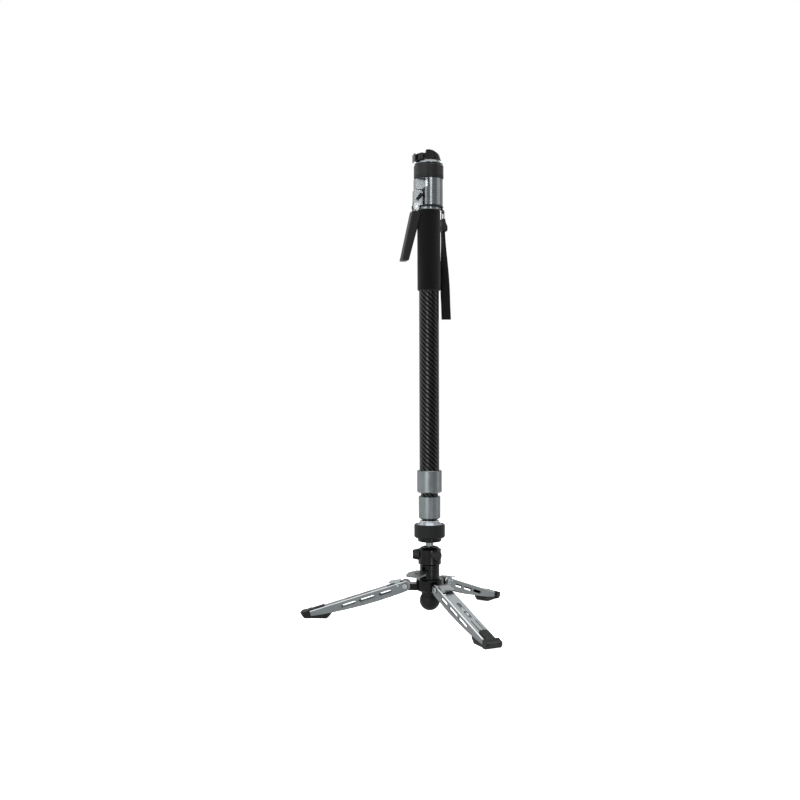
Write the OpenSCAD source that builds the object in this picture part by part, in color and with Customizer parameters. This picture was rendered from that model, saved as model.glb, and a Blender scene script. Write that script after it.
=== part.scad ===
// Telescopic camera monopod on a folding tripod base, millimetres, +Z up, standing on z = 0.

/* [Legs] */
// Length of a leg channel from its pivot to its metal end
leg_len = 161.5; // [140:0.5:190]
// Outer width of the leg channel
leg_w = 22; // [20:0.5:28]
// Sheet thickness of the leg channel
leg_wall = 2; // [1.5:0.1:2.5]
// Bend at the leg's two top edges
leg_bend = 1.2; // [0.6:0.1:1.6]
// Slope of the open legs below the horizontal, degrees
leg_slope = 18.2; // [15:0.1:22]
// Height of the leg's top edge above the line through its pivot
leg_top = 7.6; // [7:0.1:8]
// Depth of the leg wall below that line at its deepest
leg_belly = 9.9; // [9:0.1:11]
// Distance of the deepest place from the pivot
leg_belly_at = 45; // [30:1:60]
// Depth of the wall below the pivot line at the metal end
leg_end_depth = 0.6; // [0.2:0.1:2]
// Radius of the leg's rounded inner end
leg_eye_r = 8.4; // [8:0.1:9]
// Distance of the leg pivots from the pole's axis
pivot_r = 39.5; // [38:0.5:46]
// Turn of the first leg about the pole, degrees
leg_turn = 162.5; // [150:0.5:170]
// Distance from the pivot to where the leg's top face starts
top_start = 29; // [27:0.5:34]
// Height of the slots in the leg walls
slot_h = 5; // [4:0.5:7]
// Length of the wall slot nearest the hub
slot_1_len = 21.5; // [16:0.5:24]
// Length of the two other wall slots
slot_len = 27; // [20:0.5:28]
// Distance between the wall slots along the leg
slot_pitch = 31.5; // [29:0.5:36]
// Distance of the first wall slot from the pivot
slot_first = 34; // [30:0.5:40]
// Width of the slots in the leg's top face
top_slot_w = 6; // [4:0.5:8]
// Length of the slots in the leg's top face
top_slot_len = 20; // [14:0.5:22]
// Length of the slits near the foot
slit_len = 27; // [20:0.5:30]
// Width of the slits near the foot
slit_w = 1.8; // [1.2:0.1:2.5]
// Distance between the two slits
slit_gap = 8; // [6:0.5:10]

/* [Feet] */
// Rubber under the metal end of a leg
sole_t = 3.3; // [2.5:0.1:5]
// Length of the flat sole
sole_len = 36; // [30:0.5:44]
// Reach of the flat sole beyond the metal end
sole_reach = 10; // [7:0.5:13]
// Reach of the toe beyond the flat sole
toe_run = 8; // [5:0.5:10]
// Height of the toe above the floor
toe_z = 8; // [6:0.5:9]
// Width of the foot beyond the leg wall, on each side
foot_side = 2.5; // [1.5:0.1:4]
// Width taken off each side of the toe
toe_cut = 4; // [2:0.5:6]
// Length of the pad on the leg's top face
pad_len = 24; // [18:0.5:30]
// Thickness of that pad
pad_t = 2; // [1.5:0.1:3]
// Bare metal left beside the pad
pad_inset = 3.5; // [2.5:0.1:5]

/* [Hub] */
// Radius of the hub
hub_r = 22; // [20:0.5:24]
// Height of the hub
hub_h = 19; // [17:0.5:24]
// Depth of the hub below the leg pivots
hub_drop = 8; // [7:0.1:10]
// Radius of a lug's round end
lug_r = 8; // [7:0.1:8]
// Height of a lug's neck above the pivot
lug_rise = 3; // [2:0.1:4]
// Radius of the pivot bolts
bolt_r = 3; // [2.5:0.1:3.5]
// Radius of the bolt heads
bolt_head_r = 4.7; // [4.2:0.1:5.5]
// Thickness of the bolt heads
bolt_head_t = 2; // [1.5:0.1:2.5]
// Radius of the ball foot
ball_foot_r = 16.4; // [14:0.1:18]
// Radius of the ball foot's neck
ball_neck_r = 13.4; // [11:0.1:13.8]
// Radius of the stud inside the ball foot
stud_r = 5; // [4:0.1:6]
// Length of that stud
stud_len = 14; // [10:0.5:16]

/* [Latch tabs] */
// Distance of the latch pin from the leg pivot, along the leg
latch_u = 11; // [10.8:0.1:12]
// Height of the latch pin above the pivot line
latch_w = 4.2; // [4:0.1:4.6]
// Radius of the latch pin
latch_pin_r = 1.2; // [1:0.1:1.4]
// Length of the thumb plate
latch_len = 19; // [16:0.5:22]
// Thickness of the thumb plate
latch_t = 1.8; // [1.4:0.1:2.2]
// Rise of the thumb plate above the leg's slope, degrees
latch_rise = 9; // [8:0.5:20]

/* [Column and pedal] */
// Radius of the column
column_r = 16.1; // [15:0.1:18]
// Height of the column above the hub
column_h = 23.5; // [22:0.5:30]
// Radius of the column's spigot in the hub
column_spigot_r = 10; // [9.5:0.1:11]
// Length of that spigot
column_spigot_h = 10; // [8:0.5:12]
// Radius of the bore down the column
column_bore = 8; // [7.5:0.1:8.5]
// Width of the pedal slot
pedal_slot_w = 6.6; // [6:0.1:8]
// Radius of the pan spigot on top of the column
pan_r = 9; // [8.5:0.1:9.5]
// Height of the pan spigot
pan_h = 2.9; // [2:0.1:3]
// Radius of the lock plunger
plunger_r = 5; // [4:0.1:6]
// Height of the pedal pin above the hub
pedal_up = 10; // [9.5:0.1:11]
// Distance of the pedal pin from the pole's axis
pedal_pin_at = 11.5; // [11:0.1:12]
// Radius of the pedal pin
pedal_pin_r = 1.5; // [1.2:0.1:1.7]
// Reach of the pedal from the pole's axis
pedal_reach = 49; // [44:0.5:54]
// Width of the pedal plate
pedal_w = 33; // [28:0.5:36]
// Thickness of the pedal plate
pedal_t = 2.6; // [2:0.1:3.2]
// Slope of the pedal plate, degrees
pedal_slope = 9; // [6:0.5:12]

/* [Ball joint] */
// Radius of the ball
ball_r = 12.5; // [11.5:0.1:13]
// Height of the ball's centre above the underside of the socket
ball_up = 15.8; // [15.6:0.1:16.4]
// Radius of the socket
socket_r = 18.7; // [17.5:0.1:20]
// Height of the socket below its cap
socket_h = 23.2; // [22.8:0.1:24]
// Height of the socket cap
cap_h = 5; // [4.4:0.1:5.6]
// Radius of the cap's top edge
cap_r = 13; // [12.5:0.1:14.5]
// Radius of the opening round the stem
cap_bore = 10.4; // [10.2:0.1:10.8]
// Radius of the stem
stem_r = 6.4; // [5.5:0.1:6.6]
// Height of the platform above the ball's centre
stem_rise = 20.8; // [20:0.1:24]
// Radius of the platform flange
flange_r = 19.5; // [18:0.1:21]
// Height of the platform flange
flange_h = 6.1; // [5:0.1:7]
// Radius of the platform's threaded boss
boss_r = 17; // [16:0.1:17.6]
// Height of that boss
boss_h = 8.5; // [7:0.1:9.5]
// Radius of the tilt lock knob
tilt_knob_r = 9.5; // [7:0.1:10.5]
// Reach of the tilt lock knob from the pole's axis
tilt_knob_reach = 27.5; // [26:0.1:29]
// Radius of the drag knob
drag_knob_r = 9.5; // [8:0.1:11]
// Reach of the drag knob from the pole's axis
drag_knob_reach = 22.8; // [22:0.1:25]
// Radius of the two knobs' screws
knob_screw_r = 3; // [2.5:0.1:3.5]

/* [Coupling] */
// Radius of the coupling ring
ring_r = 25; // [24:0.1:27]
// Height of the coupling ring
ring_h = 21.7; // [20:0.1:24]
// Wall of the coupling ring round the adapter
ring_wall = 2.9; // [2.5:0.1:3.2]
// Depth of the adapter's flange
plate_h = 5.5; // [4:0.1:6.5]
// Wall of the adapter round the lower tube
adapter_wall = 3; // [2:0.1:4]
// Height of the adapter's cone
cone_h = 6.9; // [5:0.1:9]
// Radius of the cone where it leaves the flange
cone_r = 20; // [18.5:0.1:20.5]

/* [Pole] */
// Outer diameter of the main tube
main_d = 32; // [30:0.5:34]
// Wall of the main tube
main_wall = 1.7; // [1.4:0.1:2]
// Wall of the middle tube
middle_wall = 1.2; // [1:0.1:1.5]
// Wall of the lower tube
lower_wall = 1.5; // [1:0.1:2]
// Length of the main tube
main_len = 451.7; // [400:0.1:520]
// Height of the lower collar
low_collar_h = 36.6; // [30:0.1:42]
// Height of the upper collar
high_collar_h = 36.2; // [30:0.1:42]
// Wall of the lower collar round the middle tube
low_collar_wall = 3.8; // [3.5:0.1:5]
// Wall of the upper collar round the main tube
high_collar_wall = 4.05; // [3.5:0.05:5]
// Length of lower tube that shows
low_neck = 2.8; // [1:0.1:5]
// Length of middle tube that shows
mid_neck = 5.3; // [2:0.1:8]
// Height of a guide bush
bush_h = 7.5; // [6:0.1:9]
// Wall of a guide bush
bush_wall = 2.4; // [2:0.1:2.8]
// Height of a brake plug above its tube
brake_h = 12; // [8:0.5:14]
// Length of a brake plug inside its tube
brake_tail = 12; // [8:0.5:14]
// Thickness of the foam grip
foam_t = 2.4; // [2:0.1:4]
// Length of the foam grip
foam_len = 128.7; // [100:0.1:160]

/* [Handle] */
// Radius of the grey body
body_r = 22.8; // [22:0.1:25]
// Height of the grey body
body_h = 43.9; // [42:0.1:50]
// Length of the body's spigot in the main tube
body_tail = 19; // [15:0.5:20]
// Radius of the bore in the body
body_bore = 11; // [10.5:0.1:11.5]
// Height of the trim ring
trim_h = 2.2; // [2:0.1:2.8]
// Height of the neck ring
neck_h = 3.9; // [3.4:0.1:5]
// Thickness of the neck ring round the main tube
neck_t = 3.5; // [3:0.1:5]
// Distance of the trigger's pivot from the pole's axis
trig_r = 21; // [20.8:0.1:22]
// Depth of the trigger's pivot below the body
trig_drop = 0.9; // [0.6:0.1:1.4]
// Width of the trigger arm
arm_w = 14; // [13:0.1:15]
// Depth of the trigger arm beside the body
arm_t = 13.4; // [12:0.1:14]
// Rise of the trigger arm above the underside of the body
arm_up = 25.8; // [24:0.1:27]
// Radius of the boss round the trigger's pivot
trig_boss_r = 5.8; // [5.4:0.1:6]
// Radius of the trigger pin
trig_pin_r = 2; // [1.5:0.1:2.4]
// Width of the lug between the trigger's cheeks
lug_between = 8; // [7:0.1:8.4]
// Squeeze of the trigger, degrees
squeeze = 8; // [4:0.5:8]
// Length of the trigger grip
grip_len = 79; // [70:0.5:95]
// Width of the trigger grip
grip_w = 22; // [20:0.5:26]
// Thickness of the trigger grip at its top
grip_top_t = 15.5; // [13:0.5:16]
// Thickness of the trigger grip at its lower end
grip_low_t = 11.5; // [10:0.5:13]
// Slope of the trigger grip, degrees
grip_slope = 12.5; // [11:0.5:16]
// Radius of the release rod
rod_r = 3; // [2.5:0.1:3.5]
// Length of the release rod
rod_len = 440; // [360:1:441]

/* [Head] */
// Height of the rubber lock ring
lock_h = 20.9; // [18:0.1:26]
// Thickness of the lock ring
lock_t = 3.85; // [3:0.05:4.5]
// Step of the lock ring outside the body
lock_step = 1.05; // [0.5:0.05:1.5]
// Height of the lock ring's thin upper lip
lip_h = 1.6; // [1.2:0.1:2]
// Height of the silver ring
silver_h = 4.5; // [4:0.1:6]
// Radius of the silver ring
silver_r = 22.8; // [22:0.1:23.2]
// Height of the receiver's base under the pocket
seat_h = 5; // [4.6:0.1:6]
// Depth of the pocket
pocket_d = 12; // [11:0.1:13]
// Width of the pocket
pocket_w = 19; // [16:0.5:21]
// Reach of the pocket from the pole's axis, on its closed side
pocket_reach = 8; // [6:0.5:9]
// Distance of the jaw's face from the pole's axis
jaw_at = 13; // [12.5:0.1:14]
// Height of the jaw above the pocket's floor
jaw_up = 6.5; // [5:0.1:7]
// Reach of the jaw's thumb fin from the pole's axis
fin_reach = 25; // [24:0.1:27]

/* [Strap] */
// Width of the webbing
strap_w = 15; // [12:0.5:16]
// Thickness of the folded webbing
strap_t = 3.4; // [2.5:0.1:4]
// Length of the webbing below the buckle
strap_len = 141; // [110:1:180]
// Outward drift of the webbing's lower end
strap_drift = 3.4; // [2:0.1:5]
// Twist of the webbing, degrees
strap_twist = 80; // [60:1:90]
// Height of the buckle
buckle_h = 20; // [16:0.5:24]
// Width of the buckle
buckle_w = 14; // [12:0.5:16]
// Thickness of the buckle
buckle_t = 5.5; // [5:0.1:6]
// Bulge of the buckle on its outer side
buckle_bulge = 3.2; // [2:0.1:4]
// Wire radius of the split ring
wire_r = 0.9; // [0.7:0.1:1.1]
// Radius of the split ring at its wire
split_r = 7; // [6:0.1:8]
// Distance of the strap's eye from the pole's axis
eye_at = 23.4; // [22.8:0.1:24.5]

/* [Fits] */
// Radial clearance of a running fit
run_c = 0.05; // [0.03:0.01:0.08]
// Radial clearance of a fixed fit
seat_c = 0.02; // [0.01:0.01:0.04]
// Gap that keeps moving pieces apart
gap = 0.3; // [0.2:0.05:0.4]

/* [Hidden] */
$fn = 96;
grey = [0.42, 0.44, 0.45];
silver = [0.72, 0.73, 0.74];
black = [0.07, 0.07, 0.075];
soft_black = [0.1, 0.1, 0.1];
legs = [0, 1, 2];
leg_az = [for (i = legs) leg_turn - 120 * i];
pedal_az = leg_turn + 57.5;
tilt_knob_az = leg_turn + 7.5;
drag_knob_az = leg_turn + 130;

// Leg frame: u runs along the leg from its pivot, w stands square to it
end_z = leg_len * sin(leg_slope) + leg_end_depth * cos(leg_slope);
pivot_z = sole_t + end_z;
function leg_point(u, w) = [
  pivot_r + u * cos(leg_slope) + w * sin(leg_slope),
  pivot_z - u * sin(leg_slope) + w * cos(leg_slope)
];
function belly(u) = -leg_belly
  + (leg_belly - leg_end_depth) * pow((u - leg_belly_at) / (leg_len - leg_belly_at), 2);
leg_inner = leg_w - 2 * leg_wall;
lug_play = 0.5;
lug_w = leg_inner - 2 * lug_play;
slot_w = -0.8;
slot_at = [for (i = [0:2]) slot_first + i * slot_pitch];
top_slot_at = [slot_at[1], slot_at[1] + top_slot_len + 5];
slit_start = slot_at[2] + 11;

// Foot, measured out from the pole's axis
metal_r = leg_point(leg_len, -leg_end_depth)[0];
sole_end = metal_r + sole_reach;
sole_start = sole_end - sole_len;
toe_r = sole_end + toe_run;
plug_len = 20;
heel_run = 7;
heel_z = 7;
foot_w = leg_w + 2 * foot_side;
sole_w = leg_w + 1;
toe_w = foot_w - 2 * toe_cut;
nose_r = toe_r - toe_cut;

// The origin is the middle of the feet's box, so the pole stands beside it
function turned(p, a) = [p[0] * cos(a) - p[1] * sin(a), p[0] * sin(a) + p[1] * cos(a)];
toe_corners = [
  for (a = leg_az)
    for (p = [[toe_r, toe_w / 2], [nose_r, foot_w / 2]])
      for (s = [-1, 1])
        turned([p[0], s * p[1]], a)
];
toe_x = [for (p = toe_corners) p[0]];
toe_y = [for (p = toe_corners) p[1]];
pole_x = -(max(toe_x) + min(toe_x)) / 2;
pole_y = -(max(toe_y) + min(toe_y)) / 2;

// Heights, from the floor up
hub_z0 = pivot_z - hub_drop;
hub_z1 = hub_z0 + hub_h;
pan_z = hub_z1 + column_h;
socket_z0 = pan_z + gap;
ball_z = socket_z0 + ball_up;
cap_z0 = socket_z0 + socket_h;
cap_z1 = cap_z0 + cap_h;
flange_z0 = ball_z + stem_rise;
flange_z1 = flange_z0 + flange_h;
boss_z1 = flange_z1 + boss_h;
ring_z0 = flange_z1 + gap;
ring_z1 = ring_z0 + ring_h;
plate_z1 = ring_z1 - 1;
plate_z0 = plate_z1 - plate_h;
cone_z1 = plate_z1 + cone_h;
low_collar_z0 = cone_z1 + low_neck;
low_collar_z1 = low_collar_z0 + low_collar_h;
high_collar_z0 = low_collar_z1 + mid_neck;
high_collar_z1 = high_collar_z0 + high_collar_h;
bush_lip = 0.5;
middle_z0 = low_collar_z0 + bush_lip + bush_h;
main_z0 = high_collar_z0 + bush_lip + bush_h;
body_z0 = main_z0 + main_len;
body_z1 = body_z0 + body_h;
trim_z0 = body_z0 - trim_h;
neck_z0 = trim_z0 - neck_h;
foam_z0 = neck_z0 - foam_len;
lock_z0 = body_z1 + gap;
lock_z1 = lock_z0 + lock_h;
silver_z0 = lock_z1 + lip_h + gap;
silver_z1 = silver_z0 + silver_h;
seat_z = silver_z1 + seat_h;
top_z = seat_z + pocket_d;

// Tubes, one inside the other
tube_gap = 0.3;
main_r = main_d / 2;
main_bore = main_r - main_wall;
middle_r = main_bore - tube_gap;
middle_bore = middle_r - middle_wall;
lower_r = middle_bore - tube_gap;
lower_bore = lower_r - lower_wall;
lower_z0 = plate_z0;
stop_gap = 0.6;
middle_z1 = body_z0 - body_tail - stop_gap - brake_h;
lower_z1 = middle_z1 - brake_tail - stop_gap - brake_h;
foam_r = main_r + foam_t;
plate_r = ring_r - ring_wall - run_c;

// Trigger, drawn with x pointing out from the pole
trig_z = body_z0 - trig_drop;
arm_z1 = body_z0 + arm_up;
arm_out = trig_r + 3.9;
arm_in = arm_out - arm_t;
neck_in = main_r + 1;
arm_back = neck_in + 1.1;
flat_y = arm_w / 2 + 1;
flat_x = arm_in - 1;
ring_flat_x = main_r - 0.8;
panel_x = arm_in - 6.5;
panel_z = arm_z1 + 3;
slope_run = 2.4;
slope_out = 3.9;
finger_z = body_z0 + 9;
finger_t = 4.2;
finger_tip = 4;
block_z0 = finger_z + gap;
block_h = 6;
block_r = 9;
trig_slot = arm_w / 2 + 0.5;
boss_out = 1.1;
cheek_y = arm_w / 2 + boss_out + 0.5;
trig_lug_r = trig_boss_r - 1.6;
grip_top_out = trig_r + 8;
grip_drop = 2.1;
grip_z1 = trig_z - trig_boss_r - grip_drop;
grip_corner = 2.2;
grip_bevel = 1;
tail_w = arm_w - 4;
tail_t = 5;
tail_len = 12;
tail_out = grip_top_out - 3;
tail_z = grip_z1 + 1;
switch_len = 12.5;
switch_w = 5.5;
switch_at = arm_in + 5.45;
switch_t = 1.8;
switch_slant = 38;
switch_z = arm_z1 - 11.6;
switch_travel = 3;
tongue_d = 1.2;
tongue_w = 2.8;
tongue_h = 6;
housing_out = body_r + 0.5;
housing_z0 = arm_z1 + 0.5;
housing_z1 = body_z1 - 1;
housing_cut = 0.6;

// Lock ring spigot and receiver
spigot_r = body_r + lock_step - lock_t;
lip_in = 1.2;
silver_edge = 0.4;
silver_rim = 1.2;
dome_r = silver_r - 2.7;
horn_in = -2.5;
horn_out = -7.6;
horn_fall = 5.5;
rim_h = 2;
jaw_floor = silver_z1 + 0.6;
jaw_guide_w = 10;
jaw_guide_len = 8;
jaw_guide_h = 2.4;
fin_w = 16;
fin_t = 1.5;
fin_z0 = silver_z1 - 1;
web_w = 8;

// Strap, hanging beside the pole
eye_hole = wire_r + 0.4;
eye_z = neck_z0 - 1.6;
buckle_z1 = eye_z - 2 * split_r + 2.4;
buckle_z0 = buckle_z1 - buckle_h;
strap_rings = 24;

// Shared shapes
module at_pole() translate([pole_x, pole_y, 0]) children();

module on_leg(i) at_pole() rotate(leg_az[i]) children();

module in_leg(i) on_leg(i) translate([pivot_r, 0, pivot_z]) rotate([0, leg_slope, 0]) children();

module side(w) rotate([90, 0, 0]) linear_extrude(w, center = true) children();

module across(r, w) rotate([90, 0, 0]) cylinder(r = r, h = w, center = true);

module tube(r, bore, z0, z1) translate([0, 0, z0]) difference() {
  cylinder(r = r, h = z1 - z0);
  translate([0, 0, -1]) cylinder(r = bore, h = z1 - z0 + 2);
}

module obround(len, w) {
  square([len - w, w], center = true);
  for (s = [-1, 1]) translate([s * (len - w) / 2, 0]) circle(d = w);
}

// Ring with chamfered outer edges
module ring(r, bore, z0, z1, low, high) rotate_extrude() polygon([
  [bore, z0], [r - low, z0], [r, z0 + low], [r, z1 - high], [r - high, z1], [bore, z1]
]);

// Legs
module leg_outline() {
  circle(r = leg_eye_r);
  polygon(concat(
    [[leg_len, leg_top], [0, leg_top]],
    [for (k = [0:12]) [leg_len * k / 12, belly(leg_len * k / 12)]]
  ));
}

module leg_inside() polygon([
  [-leg_eye_r - 1, -leg_belly - 5], [leg_len + 1, -leg_belly - 5],
  [leg_len + 1, leg_top - leg_wall], [top_start, leg_top - leg_wall],
  [top_start, leg_eye_r + 1], [-leg_eye_r - 1, leg_eye_r + 1]
]);

module leg(i) color(grey) in_leg(i) difference() {
  side(leg_w) leg_outline();
  side(leg_inner) leg_inside();
  across(bolt_r + run_c, leg_w + 2);
  translate([latch_u, 0, latch_w]) across(latch_pin_r, leg_w + 2);
  for (s = [-1, 1]) translate([leg_len / 2, s * leg_w / 2, leg_top]) rotate([45, 0, 0])
    cube([2 * leg_len, leg_bend * sqrt(2), leg_bend * sqrt(2)], center = true);
  for (k = [0:2]) side(leg_w + 2)
    translate([slot_at[k], slot_w]) obround(k == 0 ? slot_1_len : slot_len, slot_h);
  translate([0, 0, leg_top - leg_wall - 1]) linear_extrude(leg_wall + 2) {
    for (u = top_slot_at) translate([u, 0]) obround(top_slot_len, top_slot_w);
    for (s = [-1, 1]) translate([slit_start + slit_len / 2, s * slit_gap / 2]) obround(slit_len, slit_w);
  }
}

module foot_profile() polygon([
  [sole_start - heel_run, heel_z + 6], [sole_start - heel_run, heel_z], [sole_start, 0],
  [sole_end, 0], [toe_r, toe_z], [toe_r, toe_z + 1],
  leg_point(leg_len + 8, leg_top + pad_t - 0.4),
  leg_point(leg_len, leg_top + pad_t), leg_point(leg_len - sole_len, -leg_end_depth)
]);

module foot(i) color(black) {
  difference() {
    intersection() {
      on_leg(i) side(foot_w) foot_profile();
      on_leg(i) linear_extrude(pivot_z) polygon([
        [0, sole_w / 2], [metal_r, sole_w / 2], [metal_r + foot_side, foot_w / 2],
        [nose_r, foot_w / 2], [toe_r, toe_w / 2],
        [toe_r, -toe_w / 2], [nose_r, -foot_w / 2], [metal_r + foot_side, -foot_w / 2],
        [metal_r, -sole_w / 2], [0, -sole_w / 2]
      ]);
    }
    in_leg(i) side(foot_w + 1) leg_outline();
    in_leg(i) translate([leg_len - sole_len * 2, -foot_w, leg_top]) cube([sole_len * 2, foot_w * 2, pivot_z]);
  }
  in_leg(i) translate([0, 0, leg_top]) linear_extrude(pad_t) polygon([
    [leg_len - pad_len, leg_inner / 2 - 3], [leg_len - pad_len + 3, leg_w / 2 - pad_inset],
    [leg_len, leg_w / 2 - pad_inset], [leg_len + 4, leg_w / 2],
    [leg_len + 4, -leg_w / 2], [leg_len, pad_inset - leg_w / 2],
    [leg_len - pad_len + 3, pad_inset - leg_w / 2], [leg_len - pad_len, 3 - leg_inner / 2]
  ]);
  in_leg(i) intersection() {
    side(leg_inner) leg_outline();
    translate([leg_len - plug_len, -leg_w, -leg_belly])
      cube([plug_len + 1, leg_w * 2, leg_belly + leg_top - leg_wall]);
  }
}

module latch_pin(i) color(silver) in_leg(i) translate([latch_u, 0, latch_w]) across(latch_pin_r, leg_w);

// Rocker with a thumb plate outside the walls and a tooth that faces the lug's notch
latch_u0 = 5;
latch_w0 = leg_top + gap + 0.4;
tooth_r = lug_r + gap;
function plate_w(u) = latch_w0 + (u - latch_u0) * tan(latch_rise) + 0.5;
module latch(i) color(silver) in_leg(i) difference() {
  union() {
    translate([latch_u0, 0, latch_w0]) rotate([0, -latch_rise, 0])
      linear_extrude(latch_t) difference() {
        translate([0, -leg_w / 2 + 1]) square([latch_len, leg_w - 2]);
        for (s = [-1, 1]) translate([latch_len, s * (leg_w / 2 - 1)]) rotate(45) square(4, center = true);
      }
    side(lug_w - 1) polygon([
      [latch_u0 + 0.4, plate_w(latch_u0 + 0.4)], [latch_u0 + 1, latch_w0 - 1.6], [latch_u - 2.2, latch_w - 2],
      [latch_u + 2.2, latch_w - 2], [latch_u + 3.6, plate_w(latch_u + 3.6)]
    ]);
  }
  across(tooth_r, leg_w * 2);
  translate([latch_u, 0, latch_w]) across(latch_pin_r + run_c, leg_w);
}

// Hub
module lug_outline() {
  translate([pivot_r, pivot_z]) circle(r = lug_r);
  polygon([
    [hub_r - 4, hub_z0 + 1], [pivot_r, pivot_z - lug_r + 1],
    [pivot_r, pivot_z + lug_rise], [hub_r - 4, pivot_z + lug_rise + 1]
  ]);
}

notch_d = 1.2;
notch_w = 3;
module hub() color(black) at_pole() difference() {
  union() {
    ring(hub_r, 0, hub_z0, hub_z1, 2, 1.2);
    for (a = leg_az) rotate(a) side(lug_w) lug_outline();
    translate([0, 0, hub_z0 - stud_len]) cylinder(r = stud_r, h = stud_len + 1);
  }
  translate([0, 0, hub_z1 - column_spigot_h - seat_c])
    cylinder(r = column_spigot_r + seat_c, h = column_spigot_h + 1);
  for (a = leg_az) rotate(a) {
    translate([pivot_r, 0, pivot_z]) across(bolt_r + seat_c, leg_w);
    translate([pivot_r, 0, pivot_z]) rotate([0, leg_slope - 60, 0])
      translate([lug_r - notch_d, -leg_w / 2, -notch_w / 2]) cube([notch_d + 1, leg_w, notch_w]);
  }
}

module ball_foot() color(black) at_pole() difference() {
  union() {
    translate([0, 0, hub_z0 - ball_foot_r + 0.4]) sphere(r = ball_foot_r);
    translate([0, 0, hub_z0 - ball_foot_r / 2]) cylinder(r = ball_neck_r, h = ball_foot_r / 2);
  }
  translate([0, 0, hub_z0 - stud_len - seat_c]) cylinder(r = stud_r + seat_c, h = stud_len + 2);
  translate([0, 0, hub_z0]) cylinder(r = ball_foot_r, h = ball_foot_r);
}

module leg_bolts() color(silver) for (i = legs) on_leg(i) translate([pivot_r, 0, pivot_z]) {
  across(bolt_r, leg_w + 2 * gap);
  for (s = [-1, 1]) rotate([s * 90, 0, 0]) translate([0, 0, leg_w / 2 + gap]) difference() {
    cylinder(r1 = bolt_head_r, r2 = bolt_head_r - 0.7, h = bolt_head_t);
    translate([0, 0, bolt_head_t - 1]) cylinder(r = bolt_head_r / 2.4, h = 2, $fn = 6);
  }
}

// Column and pedal
pedal_z = hub_z1 + pedal_up;
pedal_slot_z0 = hub_z1 + 2;
pedal_slot_z1 = pan_z - 2.5;
pin_half = 8;
module column() color(black) at_pole() difference() {
  union() {
    ring(column_r, 0, hub_z1, pan_z, 0.4, 0.8);
    translate([0, 0, hub_z1 - column_spigot_h]) cylinder(r = column_spigot_r, h = column_spigot_h + 1);
    translate([0, 0, pan_z - 1]) cylinder(r = pan_r, h = pan_h + 1);
  }
  translate([0, 0, hub_z1 - column_spigot_h + 3]) cylinder(r = column_bore, h = pan_z - hub_z1 + 1);
  cylinder(r = plunger_r + run_c, h = pan_z + pan_h + 1);
  tube(column_r + 1, column_r - 0.5, pedal_z + 3, pedal_z + 3.8);
  rotate(pedal_az) {
    translate([0, -pedal_slot_w / 2, pedal_slot_z0])
      cube([column_r + 2, pedal_slot_w, pedal_slot_z1 - pedal_slot_z0]);
    translate([pedal_pin_at, 0, pedal_z]) across(pedal_pin_r + seat_c, 2 * pin_half + 2 * seat_c);
  }
}

module pedal_pin() color(silver) at_pole() rotate(pedal_az)
  translate([pedal_pin_at, 0, pedal_z]) across(pedal_pin_r, 2 * pin_half);

pedal_finger = 2.5;
pedal_arm_t = 5;
plate_in = column_r + 4.5;
plate_rise = 3.2;
corner_r = 5;
module pedal() color(grey) at_pole() rotate(pedal_az) difference() {
  union() {
    side(pedal_slot_w - 2 * gap) polygon([
      [pedal_finger, pedal_z - 1], [pedal_pin_at, pedal_z - pedal_arm_t / 2],
      [plate_in + 3, pedal_z + plate_rise - pedal_arm_t / 2], [plate_in + 6, pedal_z + plate_rise],
      [pedal_pin_at, pedal_z + pedal_arm_t / 2], [pedal_finger, pedal_z + 2]
    ]);
    translate([plate_in, 0, pedal_z + plate_rise]) rotate([0, pedal_slope, 0]) linear_extrude(pedal_t)
      difference() {
        hull() {
          for (s = [-1, 1]) {
            translate([corner_r, s * (pedal_w / 2 - corner_r - 5)]) circle(r = corner_r, $fn = 32);
            translate([corner_r + 9, s * (pedal_w / 2 - corner_r)]) circle(r = corner_r, $fn = 32);
            translate([pedal_reach - plate_in - corner_r, s * (pedal_w / 2 - corner_r - 3)])
              circle(r = corner_r, $fn = 32);
          }
        }
        translate([(pedal_reach - plate_in) * 0.55, 0]) rotate(90) obround(7, 3);
      }
  }
  translate([pedal_pin_at, 0, pedal_z]) across(pedal_pin_r + run_c, leg_w);
}

plunger_z0 = pedal_z + 2 + gap;
plunger_top = ball_z - ball_r - 1.7;
module lock_plunger() color(silver) at_pole() {
  translate([0, 0, plunger_z0]) cylinder(r = column_bore - gap, h = 3);
  translate([0, 0, plunger_z0]) cylinder(r = plunger_r, h = plunger_top - plunger_z0);
}

// Ball joint
knob_screw_in = ball_r + 1.2;
knob_seat = socket_r - 1.2;
module knob_place(a) at_pole() rotate(a) translate([0, 0, ball_z]) rotate([0, 90, 0]) children();

module knob_seats() {
  knob_place(tilt_knob_az) translate([0, 0, knob_seat]) cylinder(r = tilt_knob_r + gap, h = socket_r);
  knob_place(drag_knob_az) translate([0, 0, knob_seat]) cylinder(r = drag_knob_r + gap, h = socket_r);
}

module socket() color(black) difference() {
  at_pole() ring(socket_r, 0, socket_z0, cap_z0, 1, 0);
  at_pole() {
    translate([0, 0, ball_z]) sphere(r = ball_r + run_c);
    translate([0, 0, socket_z0 - 1]) cylinder(r = pan_r + run_c, h = pan_h + 3);
    translate([0, 0, ball_z]) cylinder(r = ball_r + run_c, h = socket_h);
  }
  for (a = [tilt_knob_az, drag_knob_az])
    knob_place(a) translate([0, 0, knob_screw_in - gap]) cylinder(r = knob_screw_r + run_c, h = socket_r);
  knob_seats();
}

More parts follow.
